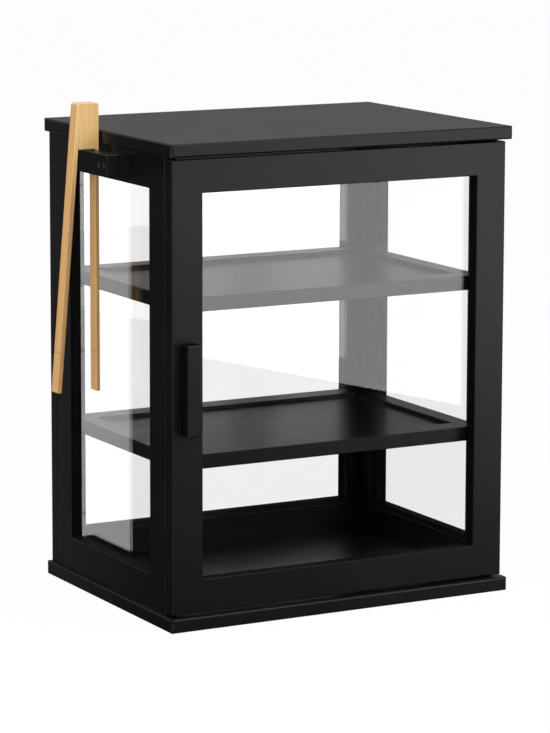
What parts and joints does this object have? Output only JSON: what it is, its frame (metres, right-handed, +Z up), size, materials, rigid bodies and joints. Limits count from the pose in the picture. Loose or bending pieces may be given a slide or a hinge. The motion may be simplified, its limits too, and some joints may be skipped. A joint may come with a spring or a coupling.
{
  "type": "countertop bread display bin",
  "caption": "Glazed wooden countertop case with a swinging front door, lift-out shelves inside and bamboo tongs hung on a bar at its side.",
  "frame": {"origin": "middle of the base board's underside, on the counter", "axes": "+X to the right and +Y to the back as seen from the door side, +Z up"},
  "size_m": [0.4556, 0.3115, 0.5288],
  "materials": {
    "black_paint": "satin black paint on wood",
    "shelf_paint": "satin black paint on wood",
    "clear_pane": "clear polished sheet",
    "bamboo": "sanded bare bamboo",
    "beech": "fluted hardwood",
    "black_steel": "black plated steel",
    "steel": "bright zinc-plated steel"
  },
  "bodies": {
    "case": {"base_board": "black_paint", "top_board": "black_paint", "left_back_stile": "black_paint", "left_front_stile": "black_paint", "left_top_rail": "black_paint", "left_bottom_rail": "black_paint", "right_front_stile": "black_paint", "right_back_stile": "black_paint", "right_top_rail": "black_paint", "right_bottom_rail": "black_paint", "back_right_stile": "black_paint", "back_left_stile": "black_paint", "back_top_rail": "black_paint", "back_bottom_rail": "black_paint", "left_pane": "clear_pane", "right_pane": "clear_pane", "back_pane": "clear_pane", "case_dowels": "beech", "base_screws": "steel", "back_screws": "steel", "shelf_pins": "steel", "lower_hinge_case_leaf": "black_steel", "upper_hinge_case_leaf": "black_steel", "hinge_pins": "black_steel", "case_leaf_screws": "black_steel", "catch_magnet": "steel", "tongs_bar": "black_paint", "tongs_bar_block": "black_paint", "tongs_bar_screws": "black_steel"},
    "door": {"door_left_stile": "black_paint", "door_right_stile": "black_paint", "door_top_rail": "black_paint", "door_bottom_rail": "black_paint", "door_pane": "clear_pane", "door_dowels": "beech", "door_handle": "black_paint", "handle_screws": "steel", "lower_hinge_door_leaf": "black_steel", "upper_hinge_door_leaf": "black_steel", "door_leaf_screws": "black_steel", "strike_plate": "steel", "strike_screw": "steel"},
    "lower_shelf": {"lower_shelf_front_rail": "shelf_paint", "lower_shelf_back_rail": "shelf_paint", "lower_shelf_left_rail": "shelf_paint", "lower_shelf_right_rail": "shelf_paint", "lower_shelf_panel": "shelf_paint"},
    "upper_shelf": {"upper_shelf_front_rail": "shelf_paint", "upper_shelf_back_rail": "shelf_paint", "upper_shelf_left_rail": "shelf_paint", "upper_shelf_right_rail": "shelf_paint", "upper_shelf_panel": "shelf_paint"},
    "tongs": {"tongs_inner_arm": "bamboo", "tongs_wedge": "bamboo", "tongs_outer_butt": "bamboo"},
    "tongs_arm": {"tongs_outer_arm": "bamboo"}
  },
  "joints": [
    {"name": "door_hinge", "type": "hinge", "parent": "case", "child": "door", "pos_m": [0.1995, -0.12825, 0.25], "axis": [0, 0, 1], "range_deg": [0, 180]},
    {"name": "lower_shelf_lift", "type": "slide", "parent": "case", "child": "lower_shelf", "axis": [0, 0, 1], "range_m": [0, 0.06]},
    {"name": "upper_shelf_lift", "type": "slide", "parent": "case", "child": "upper_shelf", "axis": [0, 0, 1], "range_m": [0, 0.06]},
    {"name": "tongs_lift", "type": "slide", "parent": "case", "child": "tongs", "axis": [0, 0, 1], "range_m": [0, 0.26]},
    {"name": "tongs_squeeze", "type": "hinge", "parent": "tongs", "child": "tongs_arm", "pos_m": [-0.2278, 0.0155, 0.4806], "axis": [0, -1, 0], "range_deg": [0, 8.5], "stiffness_Nm_per_rad": 4}
  ]
}
